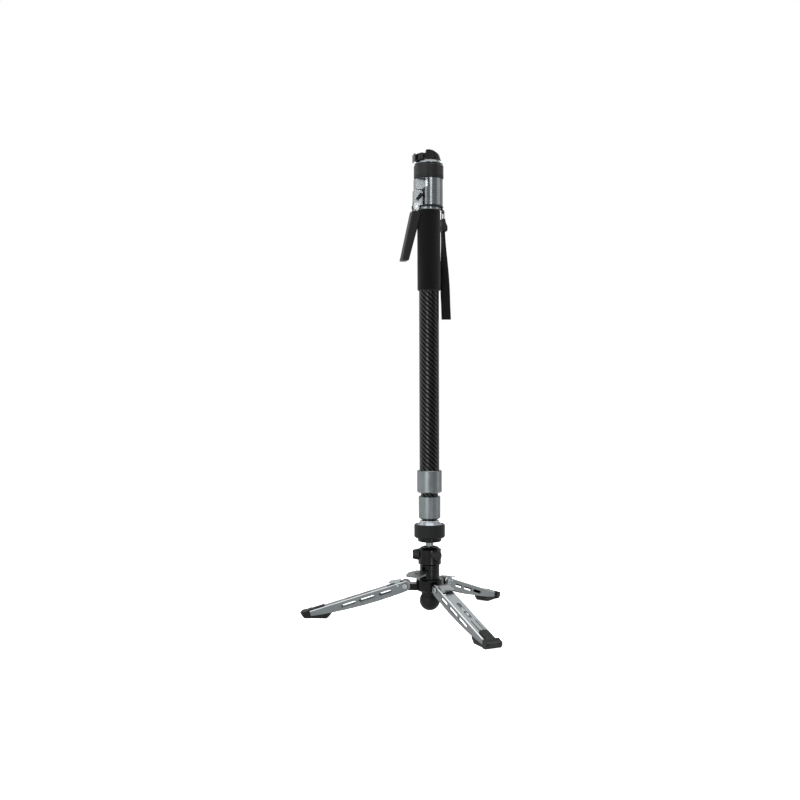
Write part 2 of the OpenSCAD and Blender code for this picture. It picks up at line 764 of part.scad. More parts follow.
module socket_cap() color(black) difference() {
  at_pole() rotate_extrude() polygon([
    [0, cap_z0], [socket_r, cap_z0], [socket_r, cap_z0 + 0.8], [cap_r, cap_z1], [0, cap_z1]
  ]);
  at_pole() translate([0, 0, ball_z]) sphere(r = ball_r + run_c);
  at_pole() translate([0, 0, cap_z0 - 1]) cylinder(r = cap_bore, h = cap_h + 2);
  knob_seats();
}

module knob(r, reach, flutes) {
  head_z0 = knob_seat + gap;
  translate([0, 0, knob_screw_in]) cylinder(r = knob_screw_r, h = reach - knob_screw_in - 1);
  difference() {
    translate([0, 0, head_z0]) cylinder(r1 = r, r2 = r * 0.78, h = reach - head_z0);
    for (k = [1:flutes]) rotate(k * 360 / flutes)
      translate([r + 0.6, 0, head_z0 + 1.4]) cylinder(r = 1.5, h = reach);
  }
}

module tilt_knob() color(black) knob_place(tilt_knob_az) knob(tilt_knob_r, tilt_knob_reach, 10);

module drag_knob() color(black) knob_place(drag_knob_az) knob(drag_knob_r, drag_knob_reach, 14);

stem_pin_r = 4;
module tilt_ball() color(silver) at_pole() {
  translate([0, 0, ball_z]) sphere(r = ball_r);
  translate([0, 0, ball_z]) cylinder(r = stem_r, h = stem_rise);
  translate([0, 0, flange_z0 - 1]) cylinder(r = stem_pin_r, h = flange_h + 1);
}

module platform() color(black) at_pole() difference() {
  union() {
    ring(flange_r, 0, flange_z0, flange_z1, 1.6, 0.4);
    translate([0, 0, flange_z1 - 1]) cylinder(r = boss_r, h = boss_h + 1);
  }
  translate([0, 0, flange_z0 - 1]) cylinder(r = stem_pin_r + seat_c, h = flange_h + 1 + seat_c);
}

// Coupling between the base and the pole
module coupling_ring() color(black) at_pole() difference() {
  ring(ring_r, boss_r + run_c, ring_z0, ring_z1, 1.8, 1.5);
  translate([0, 0, boss_z1 - gap]) cylinder(r = plate_r + run_c, h = ring_h);
}

module adapter() color(silver) at_pole() difference() {
  rotate_extrude() polygon([
    [0, boss_z1], [boss_r - 1, boss_z1], [boss_r - 1, plate_z0], [plate_r, plate_z0], [plate_r, plate_z1],
    [cone_r, plate_z1], [lower_r + adapter_wall, cone_z1 - 1.5], [lower_r + adapter_wall, cone_z1],
    [0, cone_z1]
  ]);
  translate([0, 0, plate_z0]) cylinder(r = lower_r + seat_c, h = plate_h + cone_h + 1);
}

// Pole sections
module lower_tube() color(soft_black) at_pole() tube(lower_r, lower_bore, lower_z0, lower_z1);

module middle_tube() color(soft_black) at_pole() tube(middle_r, middle_bore, middle_z0, middle_z1);

module main_tube() color(soft_black) at_pole() tube(main_r, main_bore, main_z0, body_z0);

module brake(tube_bore, guide_r, z) at_pole() difference() {
  union() {
    ring(guide_r - run_c, 0, z, z + brake_h, 1, 1);
    translate([0, 0, z - brake_tail]) cylinder(r = tube_bore - seat_c, h = brake_tail + 1);
  }
  translate([0, 0, z - brake_tail - 1]) cylinder(r = rod_r + gap, h = brake_tail + brake_h + 2);
}

module lower_brake() color(grey) brake(lower_bore, middle_bore, lower_z1);

module middle_brake() color(grey) brake(middle_bore, main_bore, middle_z1);

// Collar on a tube's lower end, with room below the tube for its bush
module collar(tube_r, guide_r, wall, z0, h) at_pole() difference() {
  ring(tube_r + wall, guide_r + gap, z0, z0 + h, 1.8, 1.2);
  translate([0, 0, z0 + bush_lip]) cylinder(r = guide_r + bush_wall, h = bush_h);
  translate([0, 0, z0 + bush_lip + bush_h]) cylinder(r = tube_r + seat_c, h = h);
  for (z = [z0 + 4.5, z0 + 6.2])
    translate([0, 0, z]) tube(tube_r + wall + 1, tube_r + wall - 0.3, 0, 0.5);
}

module bush(guide_r, z) at_pole() tube(guide_r + bush_wall - seat_c, guide_r + run_c, z, z + bush_h);

module lower_collar() color(grey)
  collar(middle_r, lower_r, low_collar_wall, low_collar_z0, low_collar_h);

module lower_bush() color(soft_black) bush(lower_r, low_collar_z0 + bush_lip);

module upper_collar() color(grey)
  collar(main_r, middle_r, high_collar_wall, high_collar_z0, high_collar_h);

module upper_bush() color(soft_black) bush(middle_r, high_collar_z0 + bush_lip);

module foam_grip() color(soft_black) at_pole() ring(foam_r, main_r + seat_c, foam_z0, neck_z0, 1.6, 0.4);

// Handle
module handle_side() at_pole() rotate(180) children();

module neck_ring() color(silver) at_pole() difference() {
  ring(main_r + neck_t, main_r + seat_c, neck_z0, trim_z0, 0.4, 0.4);
  rotate(180) translate([neck_in, -cheek_y, neck_z0 - 1]) cube([body_r, 2 * cheek_y, neck_h + 2]);
  rotate(180) flank_cut(ring_flat_x, neck_z0 - 1, trim_z0 + 1);
}

// Takes both sides off a round form, outside the trigger's flank
module flank_cut(x, z0, z1) for (s = [-1, 1])
  translate([x, s > 0 ? flat_y : -flat_y - body_r, z0]) cube([body_r * 2, body_r, z1 - z0]);

// Space that the foam keeps to itself
module foam_room() translate([0, 0, foam_z0]) cylinder(r = foam_r + gap, h = foam_len);

// That space as the squeezed trigger meets it
module squeezed_room() translate([trig_r, 0, trig_z]) rotate([0, -squeeze, 0])
  translate([-trig_r, 0, -trig_z]) foam_room();

module trim_ring() color(black) handle_side() difference() {
  union() {
    ring(body_r + 0.7, main_r + seat_c, trim_z0, body_z0, 0.6, 0.6);
    translate([trig_r, 0, trig_z]) across(trig_lug_r, lug_between);
  }
  for (y = [-cheek_y, lug_between / 2]) translate([neck_in, y, trim_z0 - trig_boss_r])
    cube([body_r, cheek_y - lug_between / 2, trim_h + 2 * trig_boss_r]);
  flank_cut(ring_flat_x, trim_z0 - 1, body_z0 + 1);
  foam_room();
  translate([trig_r, 0, trig_z]) across(trig_pin_r + seat_c, arm_w);
}

module trigger_pin() color(silver) handle_side() translate([trig_r, 0, trig_z]) across(trig_pin_r, arm_w + 1);

module body() color(grey) difference() {
  at_pole() {
    ring(body_r, 0, body_z0, body_z1, 0.6, 0.8);
    translate([0, 0, body_z0 - body_tail]) cylinder(r = main_bore - seat_c, h = body_tail + 1);
    translate([0, 0, body_z1 - 1]) cylinder(r = spigot_r, h = silver_z0 - body_z1 + 1);
  }
  at_pole() translate([0, 0, body_z0 - body_tail - 1]) cylinder(r = body_bore, h = body_tail + arm_up + 1);
  handle_side() translate([2, -trig_slot, body_z0 - 1]) cube([body_r + 2, 2 * trig_slot, arm_up + 1.5]);
  handle_side() translate([flat_x, -body_r, body_z0 - 1]) cube([body_r, 2 * body_r, panel_z - body_z0 + 2]);
  handle_side() translate([panel_x, -body_r, panel_z]) cube([body_r, 2 * body_r, housing_z1 - panel_z]);
}

// Block over the trigger, let into the flat of the body, with sloping flanks beside its panel
module housing_plan(x, run, out) polygon([
  [x, -flat_y - out], [x + run, -flat_y], [housing_out - housing_cut, -flat_y],
  [housing_out, housing_cut - flat_y], [housing_out, flat_y - housing_cut],
  [housing_out - housing_cut, flat_y], [x + run, flat_y], [x, flat_y + out]
]);

module trigger_housing() color(silver) handle_side() {
  translate([0, 0, housing_z0])
    linear_extrude(housing_z1 - seat_c - housing_z0) housing_plan(flat_x + seat_c, 1, 0);
  translate([0, 0, panel_z + seat_c])
    linear_extrude(housing_z1 - panel_z - 2 * seat_c) housing_plan(panel_x + seat_c, slope_run, slope_out);
}

// Its top slopes down inwards, so that it swings clear of the housing
module arm_outline() polygon([
  [arm_in, arm_z1 - 1.6], [arm_back, arm_z1 - 0.5], [arm_out - 1, arm_z1], [arm_out, arm_z1 - 1],
  [arm_out + 0.5, trig_z + 3], [trig_r + trig_boss_r - 0.4, trig_z - 1], [tail_out, tail_z],
  [tail_out - tail_t, tail_z], [arm_back, trig_z - 4], [arm_back, body_z0 + 0.8], [arm_in, body_z0 + 1.2]
]);

module arm_tail(c) translate([tail_out - tail_t / 2, 0, tail_z]) rotate([0, -grip_slope, 0])
  translate([-tail_t / 2 - c, -tail_w / 2 - c, -tail_len - c])
    cube([tail_t + 2 * c, tail_w + 2 * c, tail_len + 2 + 2 * c]);

module trigger_arm() color(silver) handle_side() difference() {
  union() {
    side(arm_w) arm_outline();
    translate([trig_r, 0, trig_z]) across(trig_boss_r, arm_w + 2 * boss_out);
    translate([finger_tip, -3, finger_z - finger_t]) cube([arm_in - finger_tip + 1, 6, finger_t]);
    arm_tail(0);
  }
  translate([0, -arm_w, neck_z0 - grip_len]) cube([arm_back, 2 * arm_w, body_z0 + 0.8 - neck_z0 + grip_len]);
  foam_room();
  squeezed_room();
  translate([0, -lug_between / 2 - gap, trig_z - trig_lug_r - 1])
    cube([2 * trig_r, lug_between + 2 * gap, 2 * trig_lug_r + 2]);
  translate([trig_r, 0, trig_z]) across(trig_pin_r + run_c, arm_w + 4);
  translate([switch_at - tongue_w / 2 - gap, arm_w / 2 - tongue_d - gap, switch_z - tongue_h / 2 - gap])
    cube([tongue_w + 2 * gap, tongue_d + 2, tongue_h + switch_travel + 2 * gap]);
}

// Lever whose inner side clears the foam at rest and squeezed
module grip_section(down, w, t) translate([grip_top_out + down * tan(grip_slope), 0, grip_z1 - down])
  linear_extrude(0.2) for (x = [grip_corner, t - grip_corner], s = [-1, 1])
    translate([-x, s * (w / 2 - grip_corner)]) circle(r = grip_corner, $fn = 24);

module trigger_grip() color(black) handle_side() difference() {
  hull() {
    grip_section(0.2, grip_w - 2 * grip_bevel, grip_top_t - grip_bevel);
    grip_section(grip_bevel + 0.2, grip_w, grip_top_t);
    grip_section(grip_len - grip_bevel, grip_w, grip_low_t);
    grip_section(grip_len, grip_w - 2 * grip_bevel, grip_low_t - grip_bevel);
  }
  foam_room();
  squeezed_room();
  arm_tail(seat_c);
}

module trigger_lock() color(black) handle_side() translate([switch_at, arm_w / 2 + run_c, switch_z]) {
  rotate([0, -switch_slant, 0]) difference() {
    translate([-switch_w / 2, 0, -switch_len / 2]) cube([switch_w, switch_t, switch_len]);
    for (k = [-2:2]) translate([-switch_w, switch_t - 0.6, k * switch_len / 6 - 0.4])
      cube([2 * switch_w, 1, 0.8]);
  }
  translate([-tongue_w / 2, -tongue_d, -tongue_h / 2]) cube([tongue_w, tongue_d + 0.2, tongue_h]);
}

// Rod that the trigger's finger lifts, running down through both brake plugs
module release_rod() color(silver) at_pole()
  translate([0, 0, block_z0 + block_h - rod_len]) cylinder(r = rod_r, h = rod_len);

module pull_block() color(grey) at_pole() tube(block_r, rod_r + seat_c, block_z0, block_z0 + block_h);

// Head
module lock_ring() color(soft_black) at_pole() difference() {
  union() {
    ring(spigot_r + lock_t, spigot_r + run_c, lock_z0, lock_z1, 0.5, 0.8);
    tube(spigot_r + lock_t - lip_in, spigot_r + run_c, lock_z1 - 1, lock_z1 + lip_h);
  }
  for (z = [lock_z0 + 1.6, lock_z0 + 3.2])
    tube(spigot_r + lock_t + 1, spigot_r + lock_t - 0.5, z, z + 0.7);
}

module silver_ring() color(silver) at_pole() rotate_extrude() polygon([
  [0, silver_z0], [silver_r - silver_edge, silver_z0], [silver_r, silver_z0 + silver_edge],
  [silver_r, silver_z0 + silver_rim], [dome_r + silver_edge, silver_z1], [0, silver_z1]
]);

screw_r = 2.5;
screw_x = 2;
screw_y = 6;
module receiver() color(black) at_pole() difference() {
  intersection() {
    rotate_extrude() polygon([
      [0, silver_z1], [dome_r, silver_z1], [dome_r, silver_z1 + rim_h], [dome_r - 4, top_z], [0, top_z]
    ]);
    side(2 * dome_r) polygon([
      [-dome_r, silver_z1], [dome_r, silver_z1], [dome_r, silver_z1 + rim_h], [dome_r - 3.6, top_z - 8.7],
      [dome_r - 8.7, top_z - 5.1], [dome_r - 16, top_z - 1.5], [horn_in, top_z], [horn_out + 0.6, top_z],
      [horn_out, top_z - 0.8], [horn_out, top_z - horn_fall], [-dome_r, top_z - horn_fall]
    ]);
  }
  translate([-dome_r, -pocket_w / 2, seat_z]) cube([dome_r + pocket_reach, pocket_w, pocket_d + 1]);
  translate([-2 * dome_r, -dome_r, jaw_floor]) cube([2 * dome_r - jaw_at, 2 * dome_r, top_z]);
  translate([-jaw_at - 1, -jaw_guide_w / 2 - gap, jaw_floor + gap])
    cube([jaw_guide_len + 1 + gap, jaw_guide_w + 2 * gap, jaw_guide_h + 2 * gap]);
  for (s = [-1, 1]) 
    translate([screw_x, s * screw_y, silver_z1 - 1]) cylinder(r = screw_r + seat_c, h = seat_h + 2);
}

module receiver_screws() color(silver) at_pole() for (s = [-1, 1])
  translate([screw_x, s * screw_y, silver_z1]) difference() {
    cylinder(r = screw_r, h = seat_h - 0.5);
    translate([0, 0, seat_h - 1.8]) cylinder(r = 1.3, h = 2, $fn = 6);
  }

module jaw() color(black) at_pole() {
  intersection() {
    ring(dome_r + 2, 0, jaw_floor + gap, seat_z + jaw_up, 0.6, 0.6);
    translate([-2 * silver_r, -silver_r, jaw_floor]) cube([2 * silver_r - jaw_at - gap, 2 * silver_r, top_z]);
  }
  translate([-jaw_at - 1, -jaw_guide_w / 2, jaw_floor + 2 * gap])
    cube([jaw_guide_len, jaw_guide_w, jaw_guide_h]);
  translate([-fin_reach, -fin_w / 2, fin_z0]) cube([fin_t, fin_w, seat_z + jaw_up - fin_z0]);
  translate([-fin_reach + 0.5, -web_w / 2, jaw_floor + 1])
    cube([fin_reach - dome_r, web_w, seat_z + jaw_up - jaw_floor - 3]);
}

// Wrist strap
module strap_eye() color(silver) at_pole() difference() {
  union() {
    translate([eye_at, 0, eye_z]) across(eye_hole + 1.4, 2.4);
    translate([main_r + neck_t, -1.2, neck_z0 + 0.5]) cube([eye_at - main_r - neck_t, 2.4, neck_h - 1]);
    translate([eye_at - 1.2, -1.2, eye_z]) cube([2.4, 2.4, neck_z0 - eye_z + 1.5]);
  }
  translate([eye_at, 0, eye_z]) across(eye_hole, 10);
}

module split_ring() color(silver) at_pole() translate([eye_at, 0, eye_z - split_r])
  rotate([0, 90, 0]) rotate_extrude() translate([split_r, 0]) circle(r = wire_r, $fn = 24);

module buckle() color(black) at_pole() translate([eye_at, 0, 0]) difference() {
  side(buckle_w) polygon([
    [-buckle_t / 2, buckle_z0], [buckle_t / 2 + buckle_bulge - 1, buckle_z0],
    [buckle_t / 2 + buckle_bulge, buckle_z0 + 2], [buckle_t / 2 + buckle_bulge, buckle_z0 + buckle_h * 0.4],
    [buckle_t / 2 + 0.4, buckle_z0 + buckle_h * 0.7], [buckle_t / 2 - 0.5, buckle_z1], [-buckle_t / 2, buckle_z1]
  ]);
  translate([0, 0, eye_z - split_r]) rotate([0, 90, 0]) rotate_extrude()
    translate([split_r, 0]) circle(r = wire_r + gap, $fn = 24);
  for (x = [-buckle_t / 2, buckle_t / 2 + buckle_bulge]) translate([x, 0, buckle_z0 + buckle_h / 4])
    cube([1, buckle_w - 5, 4], center = true);
}

// Webbing: a flat section carried down, turning from square to the pole to along its radius
function strap_corner(k, j) =
  let (
    t = k / strap_rings,
    a = 90 + strap_twist * (3 * t * t - 2 * t * t * t),
    p = [[-1, -1], [1, -1], [1, 1], [-1, 1]][j],
    q = turned([p[0] * strap_w / 2, p[1] * strap_t / 2], a)
  )
  [eye_at + strap_drift * t + q[0], q[1], buckle_z0 - strap_len * t];

module webbing() color(soft_black) at_pole() polyhedron(
  points = [for (k = [0:strap_rings]) for (j = [0:3]) strap_corner(k, j)],
  faces = concat(
    [[0, 1, 2], [0, 2, 3]],
    [for (k = [0:strap_rings - 1]) for (j = [0:3]) [4 * k + j, 4 * k + 4 + j, 4 * k + (j + 1) % 4]],
    [for (k = [0:strap_rings - 1]) for (j = [0:3])
      [4 * k + (j + 1) % 4, 4 * k + 4 + j, 4 * k + 4 + (j + 1) % 4]],
    [[4 * strap_rings, 4 * strap_rings + 2, 4 * strap_rings + 1],
     [4 * strap_rings, 4 * strap_rings + 3, 4 * strap_rings + 2]]
  )
);

hub();
ball_foot();
leg_bolts();
column();
pedal_pin();
leg(0);  // leg_1
foot(0);  // foot_1
latch_pin(0);  // latch_pin_1
latch(0);  // latch_1
leg(1);  // leg_2
foot(1);  // foot_2
latch_pin(1);  // latch_pin_2
latch(1);  // latch_2
leg(2);  // leg_3
foot(2);  // foot_3
latch_pin(2);  // latch_pin_3
latch(2);  // latch_3
pedal();
lock_plunger();
socket();
socket_cap();
tilt_knob();
drag_knob();
tilt_ball();
platform();
coupling_ring();
adapter();
lower_tube();
lower_brake();
middle_tube();
lower_collar();
lower_bush();
middle_brake();
main_tube();
upper_collar();
upper_bush();
foam_grip();
neck_ring();
trim_ring();
body();
trigger_housing();
trigger_pin();
trigger_arm();
trigger_grip();
trigger_lock();
release_rod();
pull_block();
lock_ring();
silver_ring();
receiver();
receiver_screws();
jaw();
strap_eye();
split_ring();
buckle();
webbing();
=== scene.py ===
import math

import bpy
import numpy as np
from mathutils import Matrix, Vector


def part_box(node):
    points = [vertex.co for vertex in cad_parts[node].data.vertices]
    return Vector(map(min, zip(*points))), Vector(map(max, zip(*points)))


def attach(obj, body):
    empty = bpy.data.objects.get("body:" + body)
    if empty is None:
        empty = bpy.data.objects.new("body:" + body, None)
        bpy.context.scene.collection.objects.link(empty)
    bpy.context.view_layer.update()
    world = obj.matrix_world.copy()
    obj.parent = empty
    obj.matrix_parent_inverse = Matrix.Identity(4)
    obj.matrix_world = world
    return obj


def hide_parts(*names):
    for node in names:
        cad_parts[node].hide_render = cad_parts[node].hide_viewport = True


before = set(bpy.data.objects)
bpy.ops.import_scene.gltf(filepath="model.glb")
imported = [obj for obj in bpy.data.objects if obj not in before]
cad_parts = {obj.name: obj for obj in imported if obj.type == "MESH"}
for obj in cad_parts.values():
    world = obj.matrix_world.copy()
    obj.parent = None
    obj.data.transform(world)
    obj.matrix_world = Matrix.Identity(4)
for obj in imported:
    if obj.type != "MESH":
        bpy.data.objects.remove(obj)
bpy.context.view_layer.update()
scene = bpy.context.scene
mm = 0.001
white = (1, 1, 1, 1)
tubeLow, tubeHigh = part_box("main_tube")
poleX = (tubeLow[0] + tubeHigh[0]) / 2
poleY = (tubeLow[1] + tubeHigh[1]) / 2
print("frame loaded")

# camera: the pole stands offAxisPx right of the middle, the horizon horizonPx above it
camera = dict(distance=1.612, height=0.378, azimuth=-14.0, lens=45.0, sensor=36.0,
              offAxisPx=29.2, horizonPx=15.0, rollDeg=0.18, framePx=800)


def setCamera(s):
    focalPx = s["lens"] / s["sensor"] * s["framePx"]
    turn = math.radians(s["azimuth"])
    data = bpy.data.cameras.new("photoCamera")
    data.lens = s["lens"]
    data.sensor_width = s["sensor"]
    cam = bpy.data.objects.new("photoCamera", data)
    cam.location = (poleX + s["distance"] * math.sin(turn),
                    poleY - s["distance"] * math.cos(turn), s["height"])
    cam.rotation_euler = (math.pi / 2 - math.atan(s["horizonPx"] / focalPx), math.radians(s["rollDeg"]),
                          turn + math.atan(s["offAxisPx"] / focalPx))
    scene.collection.objects.link(cam)
    scene.camera = cam


setCamera(camera)
scene.view_settings.view_transform = "Standard"
print("camera set")


def linearColor(code):
    # sRGB hex to linear light
    channels = [int(code[i:i + 2], 16) / 255 for i in (1, 3, 5)]
    return tuple(c / 12.92 if c <= 0.04045 else ((c + 0.055) / 1.055) ** 2.4 for c in channels) + (1.0,)


# each input takes another node's socket, a hex colour or a plain value
def feed(tree, node, inputs):
    for socket, value in inputs.items():
        if isinstance(value, bpy.types.NodeSocket):
            tree.links.new(value, node.inputs[socket])
        else:
            node.inputs[socket].default_value = linearColor(value) if isinstance(value, str) else value


def addNode(tree, kind, inputs=None, **settings):
    node = tree.nodes.new(kind)
    for name, value in settings.items():
        setattr(node, name, value)
    feed(tree, node, inputs or {})
    return node


def calc(tree, operation, *values):
    return addNode(tree, "ShaderNodeMath", dict(enumerate(values)), operation=operation).outputs[0]


def splitAxes(tree, vector):
    return addNode(tree, "ShaderNodeSeparateXYZ", {0: vector}).outputs


# value carried from one range to another and kept inside it
def spread(tree, value, low, high, fromLow=0.0, fromHigh=1.0):
    return addNode(tree, "ShaderNodeMapRange", {"Value": value, "From Min": fromLow, "From Max": fromHigh,
                                                "To Min": low, "To Max": high}).outputs[0]


# a Mix node's colour sockets, by number because their names repeat
colorA, colorB, colorOut = 6, 7, 2


def mixColors(tree, factor, first, second, **settings):
    return addNode(tree, "ShaderNodeMix", {0: factor, colorA: first, colorB: second},
                   data_type="RGBA", **settings).outputs[colorOut]


def bumpFrom(tree, height, s):
    return addNode(tree, "ShaderNodeBump", {"Height": height, "Strength": s["bump"],
                                            "Distance": s["bumpMm"] * mm}).outputs[0]


def startMaterial(name, sockets):
    mat = bpy.data.materials.new(name)
    mat.use_nodes = True
    shader = mat.node_tree.nodes["Principled BSDF"]
    feed(mat.node_tree, shader, sockets)
    return mat, mat.node_tree, shader


# the sum of the two noises lies mostly between low and high
mottle = dict(grainDetail=3.0, grainRough=0.6, patchDetail=2.0, low=0.7, high=1.3)


# fine grain over a base: mottled colour and uneven gloss from a fine and a broad noise, and a shallow bump
def makeGrained(name, s):
    mat, tree, shader = startMaterial(name, {
        "Base Color": s["light"], "Metallic": s["metallic"], "Specular IOR Level": s["specular"],
        "Sheen Weight": s.get("sheen", 0.0)})
    place = addNode(tree, "ShaderNodeTexCoord").outputs["Object"]
    grain = addNode(tree, "ShaderNodeTexNoise",
                    {"Vector": place, "Scale": 1 / (s["grainMm"] * mm), "Detail": mottle["grainDetail"],
                     "Roughness": mottle["grainRough"]}).outputs["Fac"]
    patches = addNode(tree, "ShaderNodeTexNoise",
                      {"Vector": place, "Scale": 1 / (s["patchMm"] * mm),
                       "Detail": mottle["patchDetail"]}).outputs["Fac"]
    both = calc(tree, "ADD", grain, patches)
    tone = spread(tree, both, 0.0, 1.0, mottle["low"], mottle["high"])
    gloss = spread(tree, both, s["smooth"], s["rough"], mottle["low"], mottle["high"])
    feed(tree, shader, {"Base Color": mixColors(tree, tone, s["dark"], s["light"]), "Roughness": gloss,
                        "Normal": bumpFrom(tree, grain, s)})
    return mat, tree, shader


# finishes that share the grain; the bead-blast and mould textures are drawn coarser than life so that they show
grains = {
    # bead-blasted and grey anodised: even satin metal with a soft sparkle
    "greyAnodised": dict(dark="#4e5254", light="#575b5c", smooth=0.2, rough=0.24, grainMm=0.3, patchMm=14,
                         bump=0.02, bumpMm=0.01, metallic=1.0, specular=0.5),
    # the same from a coarser blast: duller, with broad highlights
    "blastedGrey": dict(dark="#4b4f50", light="#545859", smooth=0.3, rough=0.36, grainMm=0.3, patchMm=14,
                        bump=0.04, bumpMm=0.01, metallic=1.0, specular=0.5),
    # the same after a finish turning: a little paler
    "paleAnodised": dict(dark="#6a6f71", light="#767c7e", smooth=0.25, rough=0.31, grainMm=0.3, patchMm=12,
                         bump=0.03, bumpMm=0.01, metallic=1.0, specular=0.5),
    # clear anodised: the silver cone under the pole
    "clearAnodised": dict(dark="#767b7e", light="#83878b", smooth=0.26, rough=0.32, grainMm=0.3, patchMm=10,
                          bump=0.03, bumpMm=0.01, metallic=1.0, specular=0.5),
    # black anodised aluminium: deep black with clear highlights
    "blackAnodised": dict(dark="#040405", light="#070708", smooth=0.2, rough=0.28, grainMm=0.6, patchMm=12,
                          bump=0.08, bumpMm=0.02, metallic=0.0, specular=0.08),
    # the same, burnished: the head's receiver and jaw
    "glossBlack": dict(dark="#040404", light="#070707", smooth=0.24, rough=0.32, grainMm=0.6, patchMm=12,
                       bump=0.05, bumpMm=0.02, metallic=0.0, specular=0.13),
    # plated steel pins and screws: bright, with faint turning haze
    "platedSteel": dict(dark="#8e9093", light="#a2a4a6", smooth=0.14, rough=0.24, grainMm=0.4, patchMm=6,
                        bump=0.06, bumpMm=0.02, metallic=1.0, specular=0.5),
    # moulded rubber: matte, dusty grey on black
    "mouldedRubber": dict(dark="#070808", light="#0d0e0e", smooth=0.5, rough=0.66, grainMm=0.8, patchMm=9,
                          bump=0.25, bumpMm=0.08, metallic=0.0, specular=0.1),
    # softer rubber of the lock ring: greyer, with a dull bloom
    "bloomedRubber": dict(dark="#090a0a", light="#101111", smooth=0.38, rough=0.5, grainMm=0.8, patchMm=9,
                          bump=0.2, bumpMm=0.08, metallic=0.0, specular=0.13),
    # moulded ABS with spark-eroded texture
    "texturedAbs": dict(dark="#0a0a0b", light="#111112", smooth=0.42, rough=0.56, grainMm=0.7, patchMm=8,
                        bump=0.3, bumpMm=0.06, metallic=0.0, specular=0.13),
    # glass-filled nylon of the lever: dull, with a slight shine
    "filledNylon": dict(dark="#070808", light="#0d0e0e", smooth=0.45, rough=0.58, grainMm=0.7, patchMm=9,
                        bump=0.25, bumpMm=0.05, metallic=0.0, specular=0.12),
    # closed-cell foam: dull black with tiny pores and a grazing bloom
    "cellFoam": dict(dark="#050505", light="#0a0a0a", smooth=0.85, rough=0.97, grainMm=1.3, patchMm=11,
                     bump=0.6, bumpMm=0.25, metallic=0.0, specular=0.03, sheen=0.12),
}
materials = {name: makeGrained(name, s)[0] for name, s in grains.items()}

# grey anodised on flat milled faces, painted lighter as painted light where they catch more light: under the painted
# highlights of housing and arm
milledGreyPaintedLighter = dict(dark="#616667", light="#6b6f70", smooth=0.24, rough=0.3, grainMm=0.3, patchMm=12,
                  bump=0.02, bumpMm=0.01, metallic=1.0, specular=0.5)
# painted highlights: how near to the pole, how far from the pin, and between which slopes of the face
bright = dict(flankMm=7.4, flank="#e6e8ea", bossMm=5.85, boss="#808283", bendLow=0.42, bendHigh=0.86, bend="#afb2b4")


# grey anodised pieces with a painted highlight in one place: pickPlace masks it
def makePaintedHighlight(name, s, code, pickPlace):
    mat, tree, shader = makeGrained(name, s)
    blasted = shader.inputs["Base Color"].links[0].from_socket
    place = addNode(tree, "ShaderNodeTexCoord").outputs
    feed(tree, shader, {"Base Color": mixColors(tree, pickPlace(tree, place), blasted, code)})
    return mat


# housing: painted highlight on the flanks beside its panel
def flankHighlight(tree, place):
    return calc(tree, "GREATER_THAN", splitAxes(tree, place["Object"])["X"], poleX - bright["flankMm"] * mm)


# arm: painted highlight on the boss round the trigger's pin
def bossHighlight(tree, place):
    axes = splitAxes(tree, place["Object"])
    low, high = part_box("trigger_pin")
    squares = []
    for axis, k in (("X", 0), ("Z", 2)):
        off = calc(tree, "SUBTRACT", axes[axis], (low[k] + high[k]) / 2)
        squares.append(calc(tree, "POWER", off, 2.0))
    return calc(tree, "LESS_THAN", calc(tree, "ADD", *squares), (bright["bossMm"] * mm) ** 2)


# leg: painted highlight on its pressed bends, where the face leans half way between wall and top
def bendHighlight(tree, place):
    lean = splitAxes(tree, place["Normal"])["Z"]
    return calc(tree, "MULTIPLY", calc(tree, "GREATER_THAN", lean, bright["bendLow"]),
                calc(tree, "LESS_THAN", lean, bright["bendHigh"]))


materials["housingPaintedHighlight"] = makePaintedHighlight("housingPaintedHighlight", milledGreyPaintedLighter, bright["flank"], flankHighlight)
materials["armPaintedHighlight"] = makePaintedHighlight("armPaintedHighlight", milledGreyPaintedLighter, bright["boss"], bossHighlight)
materials["legPaintedBendHighlight"] = makePaintedHighlight("legPaintedBendHighlight", grains["blastedGrey"], bright["bend"], bendHighlight)

# carbon fibre: 2x2 twill of flat tows under clear lacquer, stripes running down to the right;
# graphite fibres shine as a dark metal does, and the two runs of tows differ in that shine.
# of every repeat steps, those below warpBelow show the warp
twill = dict(towsRound=48, towMm=1.85, repeat=4.0, warpBelow=1.5, warp="#090909", weft="#292929",
             warpRough=0.45, weftRough=0.26, seam=0.4, bump=0.5, bumpMm=0.06)


def makeTwill(s):
    mat, tree, shader = startMaterial("carbonTwill", {"Base Color": s["warp"], "Metallic": 1.0})
    place = addNode(tree, "ShaderNodeTexCoord").outputs["Object"]
    centred = addNode(tree, "ShaderNodeVectorMath", {0: place, 1: (poleX, poleY, 0)}, operation="SUBTRACT")
    axes = splitAxes(tree, centred.outputs[0])
    angle = calc(tree, "ARCTAN2", axes["Y"], axes["X"])
    across = calc(tree, "MULTIPLY", angle, s["towsRound"] / (2 * math.pi))
    along = calc(tree, "MULTIPLY", axes["Z"], 1 / (s["towMm"] * mm))
    step = calc(tree, "ADD", calc(tree, "FLOOR", across), calc(tree, "FLOOR", along))
    warpUp = calc(tree, "LESS_THAN", calc(tree, "FLOORED_MODULO", step, s["repeat"]), s["warpBelow"])
    # each tow is crowned across its own width: sin(pi * fraction)
    crowns = [calc(tree, "SINE", calc(tree, "MULTIPLY", calc(tree, "FRACT", run), math.pi))
              for run in (across, along)]
    height = addNode(tree, "ShaderNodeMix", {0: warpUp, 2: crowns[1], 3: crowns[0]}).outputs[0]
    paint = mixColors(tree, warpUp, s["weft"], s["warp"])
    # painted shade: darker in the seams between tows
    shade = spread(tree, height, s["seam"], 1.0)
    feed(tree, shader, {"Base Color": mixColors(tree, 1.0, paint, shade, blend_type="MULTIPLY"),
                        "Roughness": spread(tree, warpUp, s["weftRough"], s["warpRough"]),
                        "Normal": bumpFrom(tree, height, s)})
    return mat


materials["carbonTwill"] = makeTwill(twill)

